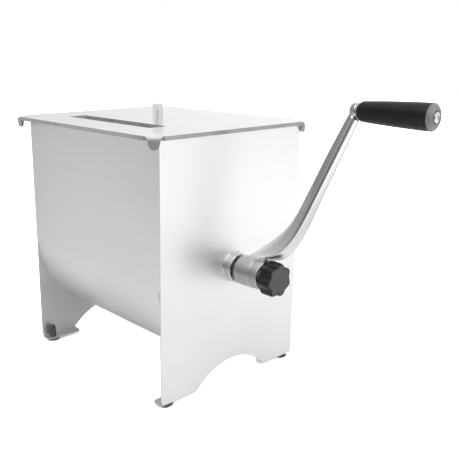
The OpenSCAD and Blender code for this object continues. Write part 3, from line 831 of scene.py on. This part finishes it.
grow(feet, stand, rubber, **{
    "Length apart": front_foot_x - rear_foot_x, "Width apart": far_foot_y - near_foot_y,
    "Middle X": (front_foot_x + rear_foot_x) / 2, "Middle Y": (near_foot_y + far_foot_y) / 2})
piece(feet, rubber, "tank", "rubber",
    "foot_front_near", "foot_front_far", "foot_rear_near", "foot_rear_far")

# %% [markdown]
# ### Paddles and shaft
#
# Six blades mix the meat. They are all the same piece: a rod with a blade whose outer edge
# follows the trough. Geometry Nodes repeat it along the shaft in three pairs, each pair a
# quarter turn on from the last, which is the rule that the real shaft follows.

# %% Paddles
PADDLE_PITCH = 0.076
TANK_MIDDLE, ROW_SHIFT = -0.144, -0.006  # along the shaft, from the front plate
paddle = eased("mixing_paddles", "paddle_1", 0.4)
first_pair = to_crank @ Matrix.Translation((TANK_MIDDLE + ROW_SHIFT + PADDLE_PITCH, 0, 0))
paddle.data.transform(first_pair.inverted())
spread = Tree("paddle_row", **{"Paddles": 6, "Pitch": PADDLE_PITCH, "Turn of a pair": pi / 2})
count = spread.node("GeometryNodeMeshLine", ("Count", spread.size("Paddles")))
number = spread.node("GeometryNodeInputIndex").outputs[0]
pair = spread.math("FLOOR", spread.math("DIVIDE", number, 2.0))
back = spread.math("MULTIPLY", spread.math("MODULO", number, 2.0), pi)
turn = spread.math("ADD", spread.math("MULTIPLY", pair, spread.size("Turn of a pair")), back)
slide = spread.math("MULTIPLY", spread.math("MULTIPLY", pair, -1.0), spread.size("Pitch"))
place = spread.node("ShaderNodeCombineXYZ", (0, slide))
tilt = spread.node("ShaderNodeCombineXYZ", (0, turn))
at = spread.node("GeometryNodeSetPosition", ("Geometry", count.outputs[0]),
    ("Position", place.outputs[0]))
blades = spread.node("GeometryNodeInstanceOnPoints", ("Points", at.outputs[0]),
    ("Instance", spread.start.outputs[0]), ("Rotation", tilt.outputs[0]))
spread.close(blades.outputs[0])
grow(paddle, spread, paddle_steel)
paddle.data.transform(first_pair)
piece(paddle, paddle_steel, "crank", "paddle_steel", *[f"paddle_{n}" for n in range(1, 7)])

# %% [markdown]
# The shaft, the spindle, the pin with its ring and the washer under the knob keep their
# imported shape, with eased edges.

# %% Shaft, spindle and pin
for name, node, width in (("mixing_shaft", "paddle_shaft", 0.5),
        ("spindle", "drive_spindle", 0.35), ("cross_pin", "drive_pin", 0.3),
        ("pin_ring", "drive_pin_clip", 0.15), ("arm_washer", "knob_washer", 0.25)):
    piece(eased(name, node, width), turned_steel, "crank", "turned_steel", node)

# %% [markdown]
# ### Crank
#
# The crank is one casting: a stepped hub, a deep web that sweeps out of it over the knob,
# a straight arm and a boss. Its parts are lofted and turned as closed shapes that overlap,
# then a fine voxel remesh fuses them and a little smoothing leaves the soft fillets that a
# sand mould gives. Sharp parts, such as the nut's pocket, are cut afterwards.

# %% Crank casting
def bezier(points, t):
    a, b, c, d = (Vector(point) for point in points)
    return a * (1 - t) ** 3 + b * 3 * t * (1 - t) ** 2 + c * 3 * t * t * (1 - t) + d * t ** 3


def arm_section(front, rear, width, front_round, rear_round, narrowing=0, steps=6):
    """A rounded section between two points of the side view; it may narrow towards its rear."""
    along = rear - front
    depth = along.length
    u = along / depth
    half = width / 2
    ring = []
    corners = [(0, 1, front_round, 180), (depth, 1, rear_round, 90), (depth, -1, rear_round, 0),
        (0, -1, front_round, 270)]
    for at, side, (deep, wide), start in corners:
        cx = at + deep if at == 0 else at - deep
        cy = side * (half - wide)
        for k in range(steps + 1):
            a = radians(start - 90 * k / steps)
            d = cx + deep * cos(a)
            ring.append((d, (cy + wide * sin(a)) * (1 - narrowing * d / depth)))
    return [((front.x + u.x * d) * MM, y * MM, (front.y + u.y * d) * MM) for d, y in ring]


# Millimetres in the side view: along the shaft, then out from its axis
ROOT_WIDTH, ELBOW_WIDTH, TIP_WIDTH = 24, 19.5, 15
WEB_STEPS, ARM_STEPS = 12, 10
elbow_front, elbow_rear = Vector((95.5, 84)), Vector((80, 88))
tip_front, tip_rear = Vector((119.5, 205)), Vector((109.3, 207))
web_front = [(56, 23), (80, 23), (89, 52), elbow_front]
web_rear = [(22, 18.5), (58, 49), (74, 64), elbow_rear]
stations = [(Vector((54, 8)), Vector((22, 8)), ROOT_WIDTH, (3, 4), (5, 7))]
for k in range(WEB_STEPS + 1):
    t = k / WEB_STEPS
    front, rear = bezier(web_front, t), bezier(web_rear, t)
    width = ROOT_WIDTH - (ROOT_WIDTH - ELBOW_WIDTH) * t ** 0.8
    front_round = (3.2 + 1.3 * t, 4.2 + 2.3 * t)
    rear_round = ((0.5 - 0.2 * t) * (front - rear).length, 9.5 - 3.5 * t)
    stations.append((front, rear, width, front_round, rear_round, 0.4 * (1 - t)))
for k in range(1, ARM_STEPS + 1):
    t = k / ARM_STEPS
    width = ELBOW_WIDTH - (ELBOW_WIDTH - TIP_WIDTH) * t
    near_elbow = max(0, 1 - t / 0.6)
    stations.append((elbow_front.lerp(tip_front, t), elbow_rear.lerp(tip_rear, t), width,
        (4.5, 6.5 - 0.8 * t), (2 + 3 * near_elbow, 2 + 4 * near_elbow)))
stations.append((Vector((119.5, 214)), Vector((111.2, 214)), 13, (3.5, 5), (2, 2)))

rings_of_arm = [arm_section(*s) for s in stations]
per = len(rings_of_arm[0])
arm_points = [p for ring in rings_of_arm for p in ring]
arm_faces = [tuple(range(per)), tuple(reversed(range(len(arm_points) - per, len(arm_points))))]
for i in range(len(rings_of_arm) - 1):
    for k in range(per):
        n = (k + 1) % per
        arm_faces.append((i * per + k, i * per + n, (i + 1) * per + n, (i + 1) * per + k))

hub_line = [(17, 0), (17, 17.7), (18, 18.75), (40, 18.75), (40.8, 16.5), (42.8, 16.5),
    (43.6, 18.2), (53.8, 18.2), (55, 17), (55, 0)]
boss_line = [(111, 0), (111, 8.8), (112, 9.8), (118, 9.8), (119.5, 8.6), (119.5, 0)]
shapes = [build("arm", arm_points, arm_faces), build("hub", *turn_x(rounded(hub_line, 0.5), 128)),
    build("boss", *turn_x(rounded(boss_line, 0.5), 96), raised)]
joined = bmesh.new()
for mesh in shapes:
    joined.from_mesh(mesh)
crank_mesh = bpy.data.meshes.new("crank_casting")
joined.to_mesh(crank_mesh)
joined.free()
crank = solid("crank_casting", crank_mesh)
fuse = crank.modifiers.new("fuse", "REMESH")
fuse.mode = "VOXEL"
fuse.voxel_size = 0.42 * MM
soften = crank.modifiers.new("soften", "SMOOTH")
soften.factor = 0.5
soften.iterations = 7
thin = crank.modifiers.new("thin", "DECIMATE")
thin.ratio = 0.3
settle(crank)
print("casting fused:", len(crank.data.polygons), "faces")


def cutter(start, end, radius, place=Matrix.Identity(4)):
    """A round bar along X that stays out of the picture."""
    bar = [(start, 0), (start, radius), (end, radius), (end, 0)]
    ob = solid("cutter", build("cutter", *turn_x(bar, 64), place))
    ob.hide_render = True
    return ob


cuts = [cutter(16, 19.2, 8.2), cutter(52, 56, 8.2), cutter(110, 114.6, 8.1, raised)]
for cut in cuts:
    bite = crank.modifiers.new("bite", "BOOLEAN")
    bite.operation = "DIFFERENCE"
    bite.object = cut
settle(crank, angle=45)
for cut in cuts:
    bpy.data.objects.remove(cut)
crank.data.transform(to_crank)
piece(crank, cast_metal, "crank", "cast_metal", "crank_arm")

# %% [markdown]
# ### Star knob
#
# The knob's outline is a rule: its radius rises and falls once for each of its seven
# lobes. A plain turned body goes into a Geometry Nodes tree, and the tree draws every point
# in towards the axis by a cosine of its angle. The number of lobes and the depth of the
# hollows are inputs, and the same tree shapes the grey cover plate in the knob's face.

# %% Star knob
lobed = Tree("lobed_outline", **{"Lobes": 7, "Hollow": 0.0033, "Rim radius": 0.0215})
spot = lobed.node("GeometryNodeInputPosition")
parts = lobed.node("ShaderNodeSeparateXYZ", (0, spot.outputs[0]))
y, z = parts.outputs[1], parts.outputs[2]
angle = lobed.math("ARCTAN2", z, y)
wave = lobed.math("COSINE", lobed.math("MULTIPLY", angle, lobed.size("Lobes")))
between_lobes = lobed.math("MULTIPLY", lobed.math("SUBTRACT", 1.0, wave), 0.5)
hollow = lobed.math("MULTIPLY", between_lobes, lobed.size("Hollow"))
out = lobed.math("SQRT", lobed.math("ADD", lobed.math("MULTIPLY", y, y), lobed.math("MULTIPLY", z, z)))
towards_rim = lobed.math("MINIMUM", lobed.math("DIVIDE", out, lobed.size("Rim radius")), 1.0)
share = lobed.math("POWER", towards_rim, 3.0)
drawn = lobed.math("DIVIDE", lobed.math("MULTIPLY", hollow, share), lobed.math("MAXIMUM", out, 0.0001))
shrink = lobed.math("SUBTRACT", 1.0, drawn)
new_spot = lobed.node("ShaderNodeCombineXYZ", (0, parts.outputs[0]),
    (1, lobed.math("MULTIPLY", y, shrink)), (2, lobed.math("MULTIPLY", z, shrink)))
shaped = lobed.node("GeometryNodeSetPosition", ("Geometry", lobed.start.outputs[0]),
    ("Position", new_spot.outputs[0]))
lobed.close(shaped.outputs[0])

ROUND_STEPS = 168
knob_line = [(56.9, 7.5), (56.9, 14.8), (58.4, 15.6), (59, 20), (60.2, 21.2), (66, 21.5),
    (76.2, 21.5, 1.1), (77.9, 20.4, 0.5), (77.9, 19.95), (77.2, 19.75), (77.2, 6.2), (56.9, 6.2)]
knob = turned_piece("star_knob_body", knob_line, 0.7, Matrix.Identity(4), ROUND_STEPS, closed=True)
grow(knob, lobed, black_plastic, angle=50)
knob.data.transform(to_crank)
piece(knob, black_plastic, "star_knob", "black_plastic", "star_knob")

cover_line = [(76.2, 0), (76.2, 19.7), (77.7, 19.7, 0.3), (78.1, 19.3, 0.3), (78.1, 0)]
cover = turned_piece("knob_cover", cover_line, 0.25, Matrix.Identity(4), ROUND_STEPS)
grow(cover, lobed, grey_plastic, angle=50, **{"Rim radius": 0.0199})
cover.data.transform(to_crank)
piece(cover, grey_plastic, "star_knob", "grey_plastic", "knob_cap")

# %% [markdown]
# ### Grip
#
# The grip is moulded in black plastic and widens towards its end. A grey, strongly chamfered
# cap closes it, with a hole for the domed head of the bolt that the grip turns on.

# %% Grip and its bolt
at_grip = to_crank @ raised
grip_line = [(121.4, 4.6), (121.4, 9.6), (122.8, 11), (125, 12), (145, 13.2), (166, 14.2),
    (198, 15.25), (212, 15.4, 0.4), (212, 4.6)]
handle = turned_piece("black_grip", grip_line, 1.5, at_grip, 128, closed=True)
piece(handle, grip_plastic, "grip", "grip_plastic", "grip")
cap_line = [(212, 6.9), (212, 15.4), (212.9, 15.3, 0.7), (215.4, 12, 1.2), (216.2, 9.8, 0.5),
    (216.2, 6.9, 0.3)]
end_cap = turned_piece("grip_end_cap", cap_line, 0.05, at_grip, 128, closed=True)
piece(end_cap, cap_plastic, "grip", "grip_plastic")

bolt_line = [(111.5, 0), (111.5, 4.5), (213.6, 4.5), (213.6, 6.2), (216.8, 6.2, 0.3),
    (217.9, 5.2, 0.8), (218.2, 3, 1), (218.3, 0)]
bolt = turned_piece("domed_bolt", bolt_line, 0.4, at_grip, 64)
piece(bolt, turned_steel, "crank", "turned_steel", "grip_bolt")
for name, node in (("grip_side_washer", "grip_washer"), ("sunk_nut", "grip_nut")):
    piece(eased(name, node, 0.2), turned_steel, "crank", "turned_steel", node)

# %% [markdown]
# ### Lid
#
# The lid is cut from clear acrylic, with a feed slot, and its four corners are folded down
# to keep it on the tank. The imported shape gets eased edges. Its knob is a plain clear rod
# that a steel screw holds from below.

# %% Lid
cover_sheet = eased("clear_lid", "lid", 0.4)
piece(cover_sheet, clear_sheet, "lid", "clear_sheet", "lid")
knob_lo, knob_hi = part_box("lid_knob")
knob_foot = ((knob_lo.x + knob_hi.x) / 2, (knob_lo.y + knob_hi.y) / 2, knob_lo.z)
stand_at = Matrix.Translation(knob_foot) @ upright
rod_line = [(0, 2.05), (0, 7, 0.2), (20, 7, 0.8), (20, 0.02), (12, 0.02, 0), (12, 2.05, 0)]
lid_rod = turned_piece("clear_lid_knob", rod_line, 0.4, stand_at, 64, closed=True)
piece(lid_rod, clear_rod, "lid", "clear_sheet", "lid_knob")
piece(eased("lid_screw", "lid_knob_screw", 0.2), turned_steel, "lid", "turned_steel", "lid_knob_screw")

# %% [markdown]
# ## Imported parts
#
# Every imported part that keeps its own shape gets its finish here.

# %% Finish the imported parts
packed_finish = {
    "stainless_sheet": plate_steel, "turned_steel": turned_steel, "paddle_steel": paddle_steel,
    "cast_metal": cast_metal, "nylon": nylon, "rubber": rubber, "black_plastic": black_plastic,
    "grey_plastic": grey_plastic, "grip_plastic": grip_plastic, "insert_brass": brass,
    "clear_sheet": clear_sheet,
}
slot_of = {part["node"]: part["material_slot"] for part in frame["record"]["subparts"]}
for node, ob in frame["nodes"].items():
    finish = packed_finish[slot_of[node]]
    if ob.data.materials:
        ob.material_slots[0].material = finish
    else:
        ob.data.materials.append(finish)
print("packed parts finished:", len(frame["nodes"]))
